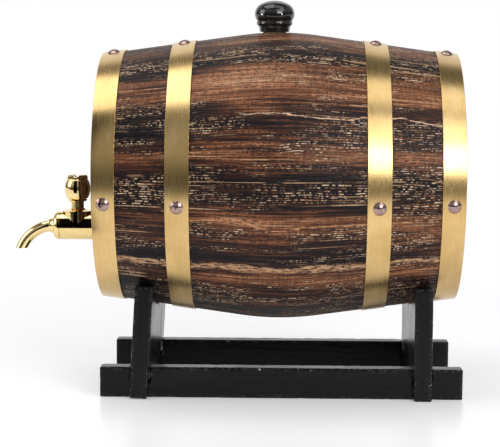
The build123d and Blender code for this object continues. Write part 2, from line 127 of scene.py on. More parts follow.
def noise(u, v, seed):
    """Smooth noise from -1 to 1 over a plane, one bump to a unit."""
    size = 128
    table = np.random.RandomState(seed).rand(size, size)
    u, v = np.broadcast_arrays(np.asarray(u, float), np.asarray(v, float))
    iu, iv = np.floor(u).astype(int), np.floor(v).astype(int)
    fu, fv = u - iu, v - iv
    fu, fv = fu * fu * (3 - 2 * fu), fv * fv * (3 - 2 * fv)
    a, b = table[iu % size, iv % size], table[(iu + 1) % size, iv % size]
    c, d = table[iu % size, (iv + 1) % size], table[(iu + 1) % size, (iv + 1) % size]
    return 2 * ((a * (1 - fu) + b * fu) * (1 - fv) + (c * (1 - fu) + d * fu) * fv) - 1


def brushed_grain(along, across, seed):
    """How far the brush has cut the soft wood back: 0 on the crests, 1 in the deepest furrows."""
    drift = 0.0042 * noise(along / 0.12, across / 0.021, seed)
    drift = drift + 0.0011 * noise(along / 0.035, across / 0.007, seed + 1)
    phase = (across + drift) / RING_PITCH + 0.5 * noise(along / 0.2, across / 0.012, seed + 2)
    ring = 0.5 + 0.5 * np.sin(2 * np.pi * phase)
    fibre = 0.5 + 0.5 * noise(along / 0.011, across / 0.0013, seed + 3)
    open_grain = 0.5 + 0.5 * noise(along / 0.06, across / 0.009, seed + 4)
    furrow = (0.35 + 0.65 * open_grain) * ring**1.5
    return np.clip(0.68 * furrow + 0.42 * fibre * (0.4 + 0.6 * open_grain), 0, 1)


def rounding(distance, radius):
    """How far a rounded edge falls back at that distance from the edge."""
    t = np.clip(1 - np.asarray(distance) / radius, 0, 1)
    return radius * (1 - np.sqrt(np.maximum(1 - t * t, 0)))


def edge_columns(width, step, edge):
    """Places across a board, close together at both edges, where it is rounded."""
    near = np.array([0.0, 0.3, 0.65, 1.0]) * edge
    between = np.linspace(edge, width - edge, max(2, int(round((width - 2 * edge) / step)) + 1))
    return np.concatenate([near[:-1], between, width - near[-2::-1]])


# ---- Mesh helpers --------------------------------------------------------------------------------


def smooth(mesh):
    """Shades the mesh smooth, but for its sharp edges."""
    mesh.shade_smooth()
    mesh.set_sharp_from_angle(angle=SHARP_ANGLE)


def add_attribute(mesh, key, values):
    """Gives each point of the mesh a number or, where values holds three to a point, a vector."""
    values = np.asarray(values, np.float32).ravel()
    if len(values) == 3 * len(mesh.vertices):
        mesh.attributes.new(key, "FLOAT_VECTOR", "POINT").data.foreach_set("vector", values)
    else:
        mesh.attributes.new(key, "FLOAT", "POINT").data.foreach_set("value", values)


def make_object(name, points, faces, attributes=()):
    """An object in the scene from its points, its faces and its (key, values) attributes."""
    mesh = bpy.data.meshes.new(name)
    mesh.from_pydata(points, [], faces)
    for key, values in attributes:
        add_attribute(mesh, key, values)
    mesh.validate()
    mesh.update()
    smooth(mesh)
    made = bpy.data.objects.new(name, mesh)
    bpy.context.scene.collection.objects.link(made)
    return made


def loop_mesh(name, grid, attributes, caps=(True, True)):
    """A closed mesh from grid[k, j]: closed loops over k, one after another over j, with end caps."""
    loops, columns = grid.shape[:2]
    index = np.arange(loops * columns).reshape(loops, columns)
    a, b = index[:, :-1], np.roll(index, -1, axis=0)[:, :-1]
    c, d = np.roll(index, -1, axis=0)[:, 1:], index[:, 1:]
    faces = np.stack([a, b, c, d], axis=-1).reshape(-1, 4).tolist()
    if caps[0]:
        faces.append(index[::-1, 0].tolist())
    if caps[1]:
        faces.append(index[:, -1].tolist())
    return make_object(name, grid.reshape(-1, 3).tolist(), faces, attributes)


def outward(obj):
    """Turns the faces outwards, if the mesh was made inside out."""
    mesh = obj.data
    mesh.calc_loop_triangles()
    co = np.empty(len(mesh.vertices) * 3)
    mesh.vertices.foreach_get("co", co)
    tri = np.empty(len(mesh.loop_triangles) * 3, int)
    mesh.loop_triangles.foreach_get("vertices", tri)
    a, b, c = co.reshape(-1, 3)[tri.reshape(-1, 3)].transpose(1, 0, 2)
    if np.einsum("ij,ij->i", a, np.cross(b, c)).sum() < 0:
        mesh.flip_normals()
    return obj


def lathe(name, profile, centre, axis):
    """A solid of revolution from (radius, height) points, turned about that axis through centre."""
    steps = 64
    profile = np.array(profile, float)
    turn = np.linspace(0, 2 * np.pi, steps, endpoint=False)
    ring = np.stack([np.cos(turn), np.sin(turn)], axis=-1)
    points = np.zeros((len(profile), steps, 3))
    points[..., :2] = profile[:, None, :1] * ring[None]
    points[..., 2] = profile[:, None, 1]
    rotation = np.array(Vector((0, 0, 1)).rotation_difference(Vector(axis)).to_matrix())
    points = points @ rotation.T + np.array(centre)
    index = np.arange(len(profile) * steps).reshape(len(profile), steps)
    a, b = index[:-1], np.roll(index, -1, axis=1)[:-1]
    c, d = np.roll(index, -1, axis=1)[1:], index[1:]
    faces = np.stack([a, b, c, d], axis=-1).reshape(-1, 4).tolist()
    faces += [index[0, ::-1].tolist(), index[-1].tolist()]
    return outward(make_object(name, points.reshape(-1, 3).tolist(), faces))


def bake_modifiers(obj):
    """Replaces obj's mesh by what its modifiers make of it, and removes them."""
    bpy.context.view_layer.update()
    mesh = bpy.data.meshes.new_from_object(obj.evaluated_get(bpy.context.evaluated_depsgraph_get()))
    obj.modifiers.clear()
    old = obj.data
    obj.data = mesh
    bpy.data.meshes.remove(old)
    return mesh


def cut(obj, cutter):
    """Cuts the cutter out of obj's mesh, and removes the cutter."""
    modifier = obj.modifiers.new("cut", "BOOLEAN")
    modifier.operation = "DIFFERENCE"
    modifier.solver = "EXACT"
    modifier.object = cutter
    smooth(bake_modifiers(obj))
    bpy.data.objects.remove(cutter)


def weld(obj):
    """Joins points that lie in one place, as at the tips of the outer head boards."""
    obj.modifiers.new("weld", "WELD").merge_threshold = 1e-6
    smooth(bake_modifiers(obj))


# ---- Staves --------------------------------------------------------------------------------------


def stave_profile():
    """The stave's closed outline (x, radius), and which of its points are on the outside."""
    end_radius = float(barrel_radius(HALF_LENGTH))
    bevel_x = HALF_LENGTH - CHIME_BEVEL
    flat = CHIME_BEVEL - STAVE_END
    outside = edge_columns(2 * HALF_LENGTH, ALONG_STEP, STAVE_END) - HALF_LENGTH
    top = [(x, float(barrel_radius(x)) - float(rounding(HALF_LENGTH - abs(x), STAVE_END))) for x in outside]
    right = [(HALF_LENGTH, end_radius - STAVE_END - quarter * flat / 4) for quarter in (1, 2, 3)]
    right += [
        (HALF_LENGTH - BEVEL_SOFTENING, end_radius - CHIME_BEVEL),
        (bevel_x, float(barrel_radius(bevel_x, WALL))),
        (TONGUE_OUT, float(barrel_radius(TONGUE_OUT, WALL))),
        (TONGUE_OUT, CROZE_RADIUS),
        (TONGUE_IN, CROZE_RADIUS),
        (TONGUE_IN, float(barrel_radius(TONGUE_IN, WALL))),
    ]
    inner = [(x, float(barrel_radius(x, WALL))) for x in np.linspace(TONGUE_IN, -TONGUE_IN, 42)[1:-1]]
    left = [(-x, r) for x, r in right[::-1]]
    points = np.array(top + right + inner + left)
    return points, np.arange(len(points)) < len(top)


def make_stave(number):
    """One stave. Stave 0 lies on top, and the others follow it over the front and round."""
    outline, outside = stave_profile()
    first = math.pi / 2 + STAVE_ANGLE * (number - 0.5)
    columns = edge_columns(STAVE_ANGLE * BILGE_RADIUS, AROUND_STEP, STAVE_JOINT)
    angles = first + columns / BILGE_RADIUS
    from_edge = np.minimum(columns, columns[-1] - columns)
    along = outline[:, :1]
    across = columns[None, :]
    # each stave has grain of its own, and lies 0.04 to 0.16 mm lower than the CAD's
    depth = brushed_grain(along + number * 0.17, across + number * 0.31, 40 + number) * outside[:, None]
    sink = 0.00004 + 0.00003 * ((number * 7) % 5)
    worn = rounding(from_edge, STAVE_JOINT)[None] + sink + BRUSHED * depth
    radius = outline[:, 1:] - outside[:, None] * worn
    grid = np.stack(
        [
            np.broadcast_to(CX + along, radius.shape),
            radius * np.cos(angles)[None],
            CZ + radius * np.sin(angles)[None],
        ],
        axis=-1,
    )
    name = "bung_stave" if number == 0 else f"stave_{number + 1:02d}"
    tone = np.full(depth.shape, ((number * 5 + 3) % STAVES) / STAVES)
    around = np.broadcast_to(columns + number * STAVE_ANGLE * BILGE_RADIUS, radius.shape)
    below = np.broadcast_to(barrel_radius(along) - outline[:, 1:], radius.shape)
    fibre = np.stack([np.broadcast_to(along, radius.shape), around, below], axis=-1)
    attributes = [("furrow", depth), ("board", tone), ("fibre", fibre)]
    made = outward(loop_mesh(f"wood_{name}", grid, attributes))
    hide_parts(name)
    return made


staves = [make_stave(number) for number in range(STAVES)]
bung_centre = ((cork_low.x + cork_high.x) / 2, 0, CZ + BILGE_RADIUS)
bung_hole = [  # (radius, height over the stave), with a softened rim
    (BUNG_HOLE, -0.06),
    (BUNG_HOLE, -0.0009),
    (BUNG_HOLE + 0.0003, -0.0004),
    (BUNG_HOLE + 0.0011, 0.0001),
    (BUNG_HOLE + 0.0011, 0.01),
]
cut(staves[0], lathe("bung_cutter", bung_hole, bung_centre, (0, 0, 1)))

# ---- Heads ---------------------------------------------------------------------------------------


def make_board(head, side, number, low, high):
    """One board of a head, with brushed grain that runs upright, softened seams and a bevelled rim."""
    face_radius = float(barrel_radius(HEAD_OUT, WALL)) - HEAD_GAP
    tongue_radius = CROZE_RADIUS - HEAD_GAP / 2
    rim = [  # (x, radius) from the outer face round to the inner face
        (HEAD_OUT, face_radius - HEAD_BEVEL - BEVEL_SOFTENING),
        (HEAD_OUT - 0.0003, face_radius - HEAD_BEVEL + BEVEL_SOFTENING),
        (TONGUE_OUT, face_radius),
        (TONGUE_OUT, tongue_radius),
        (TONGUE_IN, tongue_radius),
        (TONGUE_IN, face_radius),
        (HEAD_IN, face_radius),
    ]
    first = low is None
    last = high is None
    seam = high if first else low
    width = tongue_radius - abs(seam) if first or last else high - low
    columns = edge_columns(width, BOARD_STEP, BOARD_JOINT)
    share = columns / width
    face_rows = np.linspace(-1, 1, FACE_ROWS)
    back_rows = np.linspace(1, -1, BACK_ROWS)

    def reach(radius):
        """(y, half height) of that circle at each column. An outer board's columns close in on its tip."""
        if first:
            y = seam - (1 - share) * (radius - abs(seam))
        elif last:
            y = seam + share * (radius - abs(seam))
        else:
            y = low + share * (high - low)
        return y, np.sqrt(np.maximum(radius**2 - y**2, 0))

    def flat_side(x, radius, shares):
        """The rows of points over that circle's face, at those shares of its half height."""
        y, height = reach(radius)
        return [(x, y, height * row) for row in shares]

    upper = [(x, *reach(r)) for x, r in rim[1:-1]]
    lower = [(x, y, -height) for x, y, height in upper[::-1]]
    loop = flat_side(*rim[0], face_rows) + upper + flat_side(*rim[-1], back_rows) + lower
    grid = np.zeros((len(loop), len(columns), 3))
    for k, place in enumerate(loop):
        for axis, values in enumerate(place):
            grid[k, :, axis] = values
    outside = np.arange(len(loop)) < FACE_ROWS
    soften = np.zeros(len(columns))
    if not first:
        soften += rounding(columns, BOARD_JOINT)
    if not last:
        soften += rounding(width - columns, BOARD_JOINT)
    # each board has grain of its own, and lies 0.03 to 0.15 mm further in than the CAD's
    seed = 90 + number + 7 * side
    depth = brushed_grain(grid[..., 2], grid[..., 1] + 0.4 + 0.07 * number, seed) * outside[:, None]
    fibre = np.stack([grid[..., 2], grid[..., 1] + 0.11 * number, HEAD_OUT - grid[..., 0]], axis=-1)
    grid[..., 0] -= outside[:, None] * (soften[None] + 0.00003 * number + BRUSHED * depth)
    grid[..., 0] *= side
    grid += np.array(middle)
    tone = np.full(depth.shape, ((number * 3 + side) % 5) / 5)
    name = f"{head}_board_{number}"
    attributes = [("furrow", depth), ("board", tone), ("fibre", fibre)]
    made = loop_mesh(f"wood_{name}", grid, attributes, (not first, not last))
    if first or last:
        weld(made)
    outward(made)
    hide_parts(name)
    return made


limits = (None, *SEAMS, None)
boards = {}
for head, side in (("tap_head", -1), ("plain_head", 1)):
    for number, (low, high) in enumerate(zip(limits, limits[1:]), start=1):
        boards[head, number] = make_board(head, side, number, low, high)
tap_centre = (CX - HEAD_OUT, 0, (gasket_low.z + gasket_high.z) / 2)
tap_hole = [(TAP_HOLE, -0.03), (TAP_HOLE, 0.03)]
cut(boards["tap_head", 3], lathe("tap_cutter", tap_hole, tap_centre, (1, 0, 0)))

# ---- Stand ---------------------------------------------------------------------------------------


def worn_board(name, axis, seed):
    """A board of the stand: the CAD shape in a fine mesh, with open grain and knocked arrises."""
    copy = bpy.data.objects.new(f"painted_{name}", nodes[name].data.copy())
    bpy.context.scene.collection.objects.link(copy)
    remesh = copy.modifiers.new("fine", "REMESH")
    remesh.mode = "VOXEL"
    remesh.voxel_size = FINE_MESH
    mesh = bake_modifiers(copy)
    count = len(mesh.vertices)
    co = np.empty(count * 3)
    mesh.vertices.foreach_get("co", co)
    co = co.reshape(-1, 3)
    ends = np.empty(len(mesh.edges) * 2, int)
    mesh.edges.foreach_get("vertices", ends)
    ends = ends.reshape(-1, 2)
    links = np.bincount(ends.ravel(), minlength=count)[:, None]

    def neighbours(values):
        """The mean of each point's neighbours."""
        total = np.zeros_like(values)
        np.add.at(total, ends[:, 0], values[ends[:, 1]])
        np.add.at(total, ends[:, 1], values[ends[:, 0]])
        return total / np.maximum(links, 1)

    for _ in range(2):  # softens the edges
        co = 0.5 * co + 0.5 * neighbours(co)
    mesh.vertices.foreach_set("co", co.ravel())
    mesh.update()
    normals = np.empty(count * 3)
    mesh.vertices.foreach_get("normal", normals)
    normals = normals.reshape(-1, 3)
    proud = np.einsum("ij,ij->i", co - neighbours(co), normals)[:, None]
    for _ in range(3):
        proud = 0.4 * proud + 0.6 * neighbours(proud)
    arris = np.clip(proud[:, 0] / PROUD, 0, 1)
    cross = [i for i in range(3) if i != axis]
    along = co[:, axis]
    across = co[:, cross[0]] * 0.8 + co[:, cross[1]] * 0.6  # it changes on every face along the board
    depth = brushed_grain(along, across, seed)
    knocks = np.clip(noise(along / 0.006, across / 0.006, seed + 9) - 0.15, 0, 1)
    nicks = np.clip(noise(along / 0.0021, across / 0.0021, seed + 10) - 0.55, 0, 1)
    co -= normals * (PAINTED * depth + arris * (KNOCK * knocks + NICK * nicks))[:, None]
    mesh.vertices.foreach_set("co", co.ravel())
    add_attribute(mesh, "wear", arris)
    mesh.update()
    mesh.shade_smooth()
    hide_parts(name)
    return copy


stand_boards = {
    name: worn_board(name, axis, seed)
    for name, axis, seed in (
        ("front_rail", 0, 200),
        ("back_rail", 0, 220),
        ("tap_end_cradle", 2, 240),
        ("plain_end_cradle", 2, 260),
    )
}

# ---- Material helpers ----------------------------------------------------------------------------


def rgba(colour):
    """An opaque colour, from one grey number or from (red, green, blue)."""
    return (*colour, 1) if hasattr(colour, "__len__") else (colour, colour, colour, 1)


class Nodes:
    """A node tree, built from left to right. A value is a number, a tuple or a node's output."""

    def __init__(self, tree):
        self.tree = tree

    def put(self, socket, value):
        """Gives the input socket that value."""
        if isinstance(value, bpy.types.NodeSocket):
            self.tree.links.new(value, socket)
        else:
            socket.default_value = value

    def new(self, kind, **settings):
        """A node of that kind, with those settings."""
        node = self.tree.nodes.new("ShaderNode" + kind)
        for key, value in settings.items():
            setattr(node, key, value)
        return node

    def add(self, kind, out=0, **inputs):
        """A node with those inputs, as one of its outputs."""
        node = self.new(kind)
        for key, value in inputs.items():
            self.put(node.inputs[key.replace("_", " ")], value)
        return node.outputs[out]

    def math(self, operation, *values):
        node = self.new("Math", operation=operation)
        for socket, value in zip(node.inputs, values):
            self.put(socket, value)
        return node.outputs[0]

    def times(self, a, b):
        return self.math("MULTIPLY", a, b)

    def sway(self, base, value, strength):
        """The base, moved by how far the value is from one half."""
        return self.math("MULTIPLY_ADD", self.math("SUBTRACT", value, 0.5), strength, base)

    def vector_math(self, operation, *values, out="Vector"):
        node = self.new("VectorMath", operation=operation)
        for socket, value in zip(node.inputs, values):
            self.put(socket, value)
        return node.outputs[out]

    def split(self, vector):
        """The vector's X, Y and Z."""
        return self.add("SeparateXYZ", Vector=vector).node.outputs

    def place(self, scale, centre=(0, 0, 0)):
        """The piece's own coordinates from that centre, times the scale, or one scale for each."""
        scale = scale if isinstance(scale, tuple) else (scale, scale, scale)
        from_centre = self.vector_math("SUBTRACT", self.add("TexCoord", out="Object"), centre)
        return self.vector_math("MULTIPLY", from_centre, scale)

    def noise(self, vector, detail=2.0, roughness=0.5):
        """Noise from 0 to 1, one bump to a unit."""
        return self.add("TexNoise", Vector=vector, Scale=1.0, Detail=detail, Roughness=roughness)

    def span(self, value, low, high, to_low=0.0, to_high=1.0):
        """Goes smoothly from to_low to to_high while the value goes from low to high."""
        node = self.new("MapRange", interpolation_type="SMOOTHSTEP")
        self.put(node.inputs["Value"], value)
        for key, number in (("From Min", low), ("From Max", high), ("To Min", to_low), ("To Max", to_high)):
            self.put(node.inputs[key], number)
        return node.outputs[0]

    def ramp(self, value, stops):
        """The colour for that value, from (value, colour) stops."""
        node = self.new("ValToRGB")
        elements = node.color_ramp.elements
        while len(elements) < len(stops):
            elements.new(0.5)
        for element, (position, colour) in zip(elements, stops):
            element.position = position
            element.color = rgba(colour)
        self.put(node.inputs[0], value)
        return node.outputs[0]

    def mix(self, factor, a, b):
        """Colour a where the factor is 0, and colour b where it is 1."""
        node = self.new("Mix", data_type="RGBA")
        self.put(node.inputs[0], factor)
        for socket, value in ((node.inputs[6], a), (node.inputs[7], b)):
            self.put(socket, rgba(value) if isinstance(value, tuple) else value)
        return node.outputs[2]

    def attribute(self, name, out="Fac"):
        return self.new("Attribute", attribute_name=name).outputs[out]

    def bump(self, height, distance, strength):
        return self.add("Bump", Height=height, Distance=distance, Strength=strength)


class Material(Nodes):
    """A material with one main shader."""

    def __init__(self, name):
        self.material = bpy.data.materials.new(name)
        self.material.use_nodes = True
        super().__init__(self.material.node_tree)
        self.shader = self.tree.nodes["Principled BSDF"]
        self.output = self.tree.nodes["Material Output"]

    def set(self, **inputs):
        """Gives the shader's inputs those values, where a tuple is a colour."""
        for key, value in inputs.items():
            value = rgba(value) if isinstance(value, tuple) else value
            self.put(self.shader.inputs[key.replace("_", " ")], value)


# ---- Materials -----------------------------------------------------------------------------------

WOOD_TONES = [  # from charred to bare
    (0.08, (0.0034, 0.0027, 0.0042)),
    (0.28, (0.0120, 0.0068, 0.0080)),
    (0.42, (0.0560, 0.0200, 0.0120)),
    (0.58, (0.1950, 0.0730, 0.0310)),
    (0.76, (0.3900, 0.1730, 0.0840)),
    (1.00, (0.6200, 0.3700, 0.2200)),
]


def oak(name, bands, ridges=(), calm=0.0):
    """Charred, brushed and waxed oak.

    The mesh's fibre attribute holds each point's place along, across and below the grain. bands is the
    tone, from 0 charred to 1 bare, of the broad stripes across it: (place, tone). ridges are long pale
    fibres: (place, half width, start, end, colour). Places and half widths are shares of the way round
    the barrel, and starts and ends are metres along it. calm takes away some of the torn fibres and
    of their painted glints of light.
    """
    m = Material(name)
    furrow = m.attribute("furrow")
    board = m.attribute("board")
    fibre = m.attribute("fibre", "Vector")
    along, across, below = m.split(fibre)

    def grain(length, width, turn):
        """Noise coordinates with bumps of that length and width. turn is where in the noise they start."""
        scaled = m.vector_math("MULTIPLY", fibre, (1 / length, 1 / width, 1 / width))
        return m.vector_math("ADD", scaled, (turn, 1.7 * turn, 0.3 * turn))

    def dashes(length, pitch, half_thickness, low, high, turn):
        """Short dashes in wavering rows, which are one pitch apart. The half thickness is a share of it.

        The noise along each row fades its dashes in from low to high.
        """
        wobble = m.noise(grain(0.030, 0.012, turn), detail=1)
        rows = m.math("ADD", m.math("DIVIDE", across, pitch), m.times(wobble, 3.0))
        aside = m.math("ABSOLUTE", m.math("SUBTRACT", m.math("FRACT", rows), 0.5))
        row = m.math("FLOOR", rows)
        line = m.add("CombineXYZ", X=m.math("DIVIDE", along, length), Y=m.times(row, 7.31), Z=turn)
        here = m.noise(line, detail=1)
        return m.times(m.span(aside, half_thickness + 0.12, half_thickness - 0.08), m.span(here, low, high))

    # broad stripes that waver across the grain
    wander = m.noise(grain(0.075, 0.030, 2.1), detail=3, roughness=0.6)
    ripple = m.noise(grain(0.022, 0.006, 6.4))
    wavering = m.sway(m.sway(across, wander, 0.021), ripple, 0.0045)
    share = m.math("FRACT", m.math("DIVIDE", wavering, 2 * math.pi * BILGE_RADIUS))
    broad = m.ramp(share, bands)

    # the wood's tone
    cloud = m.noise(grain(0.110, 0.012, 4.4), detail=3, roughness=0.55)
    streaks = m.noise(grain(0.070, 0.0026, 3.7), detail=3, roughness=0.6)
    tone = m.math("MULTIPLY_ADD", broad, 0.86, 0.02)
    tone = m.sway(tone, cloud, 0.70)
    tone = m.sway(tone, board, 0.05)
    tone = m.math("MULTIPLY_ADD", furrow, -0.10, tone)
    # painted shade: the wood darker towards the tap end of the staves, and low down on the heads
    tone = m.math("ADD", tone, m.span(along, -0.080, -0.045, -0.11, 0.0))
    wood = m.ramp(m.sway(tone, streaks, 1.10), WOOD_TONES)

    # torn fibres: pale dashes, painted glints of light, most of all where the wood is charred; dark ones
    # where it is whole
    torn = m.noise(grain(0.070, 0.010, 1.9), roughness=0.55)
    torn = m.math("MULTIPLY_ADD", m.math("SUBTRACT", 0.40, tone), 0.26, torn)
    torn = m.math("ADD", torn, m.span(along, -0.012, 0.045, -0.035 - calm, 0.035 - calm))
    outside = m.span(m.math("ABSOLUTE", below), 0.0026, 0.0012)
    frayed_and_glinting = m.times(m.span(torn, 0.43, 0.60), outside)
    warmth = m.noise(grain(0.012, 0.0035, 3.9))
    wood = m.mix(m.times(frayed_and_glinting, 0.45), wood, (0.012, 0.0078, 0.0085))
    # the pale dashes are painted highlights, glints of light on the torn fibres
    pale = m.times(dashes(0.0022, 0.0019, 0.19, 0.42, 0.62, 5.3), frayed_and_glinting)
    pale = m.times(pale, m.span(warmth, 0.30, 0.60, 0.35, 1.0))
    glint_colour = m.mix(m.span(warmth, 0.40, 0.60), (0.50, 0.24, 0.11), (0.78, 0.57, 0.38))
    wood = m.mix(pale, wood, glint_colour)
    dark = m.times(dashes(0.0030, 0.0021, 0.22, 0.42, 0.56, 9.2), m.span(torn, 0.66, 0.46))
    wood = m.mix(m.times(dark, m.span(streaks, 0.35, 0.60, 0.30, 0.80)), wood, (0.008, 0.0045, 0.0048))

    # long raised fibres, and the ridges
    lines = m.noise(grain(0.120, 0.0020, 7.7), roughness=0.45)
    broken = m.noise(grain(0.02, 0.02, 4.9), detail=1)
    crest = m.times(m.span(lines, 0.65, 0.70), m.span(broken, 0.42, 0.55))
    wood = m.mix(m.times(crest, 0.75), wood, (0.60, 0.38, 0.21))
    tufts = m.span(m.noise(grain(0.0060, 0.0013, 2.7), roughness=0.6), 0.40, 0.54)
    for place, half_width, start, end, colour in ridges:
        off = m.math("ABSOLUTE", m.math("SUBTRACT", share, place))
        run = m.times(m.span(along, start - 0.02, start), m.span(along, end + 0.02, end))
        ridge = m.times(m.span(off, half_width, 0.4 * half_width), run)
        wood = m.mix(m.times(ridge, tufts), wood, colour)

    # fine dark strokes across the grain, and open pores
    strokes = m.noise(grain(0.0011, 0.020, 3.3), detail=1, roughness=0.6)
    wood = m.mix(m.span(strokes, 0.52, 0.66, 0.0, 0.34), wood, (0.010, 0.008, 0.009))
    pores = m.noise(grain(0.010, 0.0008, 8.8), roughness=0.7)
    height = m.math("MULTIPLY_ADD", crest, 0.6, m.times(pores, 0.5))
    height = m.math("MULTIPLY_ADD", pale, 0.7, height)
    height = m.math("MULTIPLY_ADD", dark, -0.6, height)
    m.set(
        Base_Color=wood,
        Roughness=m.span(pores, 0.3, 0.7, 0.52, 0.36),
        Specular_IOR_Level=0.17,
        Normal=m.bump(height, 0.00025, 0.8),
    )
    return m.material


def brass_strip():
    """Aged brass strip, brushed round the hoop."""
    m = Material("aged_brass")
    x, y, z = m.split(m.place(1, middle))
    angle = m.math("ARCTAN2", z, y)
    round_hoop = m.add("CombineXYZ", X=m.times(x, 2600.0), Y=m.times(angle, 2.5), Z=0.0)
    brush = m.noise(round_hoop, detail=4, roughness=0.7)
    cloud = m.noise(m.place(22, middle), detail=3, roughness=0.6)
    rub = m.noise(m.place((90, 34, 34), middle), detail=3, roughness=0.6)
    colour = m.mix(m.span(cloud, 0.32, 0.68), (0.64, 0.43, 0.170), (0.80, 0.56, 0.245))
    colour = m.mix(m.times(m.span(brush, 0.35, 0.7), 0.40), colour, (0.52, 0.345, 0.135))
    colour = m.mix(m.times(m.span(rub, 0.55, 0.75), 0.35), colour, (0.86, 0.68, 0.40))
    m.set(
        Base_Color=colour,
        Metallic=1.0,
        Roughness=m.span(brush, 0.25, 0.75, 0.20, 0.30),
        Normal=m.bump(brush, 0.00003, 0.6),
    )
    return m.material


def copper_dome():
    """Antique copper plating."""
    m = Material("antique_copper")
    cloud = m.noise(m.place(900), detail=2, roughness=0.5)
    colour = m.mix(m.span(cloud, 0.3, 0.7), (0.30, 0.190, 0.165), (0.52, 0.375, 0.33))
    m.set(
        Base_Color=colour,
        Metallic=1.0,
        Roughness=m.span(cloud, 0.3, 0.7, 0.16, 0.26),
        Normal=m.bump(m.noise(m.place(520), detail=1), 0.00012, 0.35),
    )
    return m.material


def polished_gold():
    """Mirror-polished, gold-plated brass with a faint film on it."""
    m = Material("polished_gold")
    film = m.noise(m.place(130), detail=3, roughness=0.6)
    fine = m.noise(m.place(2400), detail=1)
    colour = m.mix(m.span(film, 0.3, 0.7), (0.86, 0.64, 0.27), (0.94, 0.75, 0.38))
    m.set(
        Base_Color=colour,
        Metallic=1.0,
        Roughness=m.span(film, 0.3, 0.75, 0.045, 0.10),
        Normal=m.bump(fine, 0.000004, 0.4),
    )
    return m.material


def machined_brass():
    """Machined brass, with fine marks along X."""
    m = Material("machined_brass")
    turned = m.noise(m.place((300, 2400, 2400)), detail=2)
    m.set(
        Base_Color=m.mix(turned, (0.62, 0.46, 0.20), (0.80, 0.62, 0.30)),
        Metallic=1.0,
        Roughness=m.span(turned, 0.3, 0.7, 0.22, 0.36),
        Normal=m.bump(turned, 0.00001, 0.5),
    )
    return m.material


def gloss_black():
    """Gloss black lacquer."""
    m = Material("gloss_black")
    ripple = m.noise(m.place(160), detail=2)
    m.set(
        Base_Color=m.mix(ripple, (0.004, 0.004, 0.004), (0.008, 0.008, 0.009)),
        Roughness=m.span(ripple, 0.3, 0.7, 0.06, 0.13),
        Coat_Weight=0.4,
        Coat_Roughness=0.05,
        Normal=m.bump(ripple, 0.00005, 0.5),
    )
    return m.material


def black_paint(name, axis):
    """Satin black paint over planed wood, whose grain runs along that axis."""
    m = Material(name)

    def grain(length, width):
        scale = [1 / width] * 3
        scale[axis] = 1 / length
        return m.place(tuple(scale))

    fibres = m.noise(grain(0.05, 0.0011), detail=4, roughness=0.65)
    cloud = m.noise(grain(0.05, 0.02), detail=3, roughness=0.6)
    chips = m.noise(m.place(420), detail=3, roughness=0.6)
    colour = m.mix(m.span(fibres, 0.40, 0.72), (0.0016, 0.0016, 0.0017), (0.0070, 0.0070, 0.0075))
    wear = m.attribute("wear")
    rubbed = m.times(wear, m.span(chips, 0.46, 0.66))
    colour = m.mix(m.times(rubbed, 0.30), colour, (0.12, 0.118, 0.118))
    spots = m.noise(grain(0.012, 0.004), detail=2, roughness=0.5)
    chip = m.times(m.times(wear, m.span(chips, 0.60, 0.66)), m.span(spots, 0.60, 0.68))
    colour = m.mix(m.times(chip, 0.8), colour, (0.52, 0.50, 0.48))
    height = m.math("SUBTRACT", fibres, m.times(chip, 0.6))
    m.set(
        Base_Color=colour,
        Roughness=m.span(cloud, 0.3, 0.7, 0.20, 0.32),
        Specular_IOR_Level=0.22,
        Normal=m.bump(height, 0.00012, 0.6),
    )
    return m.material


def cork_wood():
    """Natural cork."""
    m = Material("cork")
    grains = m.add("TexVoronoi", Vector=m.place(420), out="Distance")
    spots = m.noise(m.place(260), detail=3, roughness=0.6)
    colour = m.mix(m.span(spots, 0.3, 0.7), (0.36, 0.22, 0.12), (0.60, 0.42, 0.25))
    colour = m.mix(m.span(spots, 0.66, 0.72), colour, (0.12, 0.065, 0.035))
    m.set(Base_Color=colour, Roughness=0.85, Normal=m.bump(grains, 0.0002, 0.5))
    return m.material


def beech():
    """Plain turned beech, with its grain along Y."""
    m = Material("beech")
    fibres = m.noise(m.place((1100, 90, 1100)), detail=3)
    m.set(
        Base_Color=m.mix(fibres, (0.42, 0.26, 0.14), (0.62, 0.43, 0.26)),
        Roughness=0.6,
        Normal=m.bump(fibres, 0.00005, 0.5),
    )
    return m.material


def rubber():
    """Matt black rubber."""
    m = Material("rubber")
    bloom = m.noise(m.place(300), detail=3)
    m.set(
        Base_Color=m.mix(bloom, (0.012, 0.012, 0.012), (0.03, 0.03, 0.031)),
        Roughness=m.span(bloom, 0.3, 0.7, 0.55, 0.75),
        Normal=m.bump(bloom, 0.00003, 0.5),
    )
    return m.material


STAVE_BANDS = [  # (place, tone) round the barrel from the joint behind its top, over the front
    (0.000, 0.42),
    (0.080, 0.64),
    (0.124, 0.20),
    (0.152, 0.82),
    (0.178, 0.74),
    (0.202, 0.32),
    (0.228, 0.44),
    (0.248, 0.84),
    (0.276, 0.18),
    (0.300, 0.40),
    (0.318, 0.66),
    (0.344, 0.46),
    (0.366, 0.22),
    (0.392, 0.82),
    (0.424, 0.26),
    (0.470, 0.34),
    (0.530, 0.55),
    (0.580, 0.22),
    (0.640, 0.62),
    (0.690, 0.28),
    (0.745, 0.58),
    (0.800, 0.20),
    (0.860, 0.66),
    (0.920, 0.30),
    (1.000, 0.42),
]
STAVE_RIDGES = [  # (place, half width, start, end, colour)
    (0.2015, 0.0012, -0.015, 0.130, (0.70, 0.46, 0.31)),
    (0.3220, 0.0012, -0.060, 0.110, (0.55, 0.28, 0.14)),
    (0.3780, 0.0046, -0.130, 0.130, (0.56, 0.33, 0.18)),
    (0.6100, 0.0018, -0.110, 0.060, (0.70, 0.44, 0.28)),
    (0.8300, 0.0030, -0.050, 0.130, (0.60, 0.34, 0.19)),
]
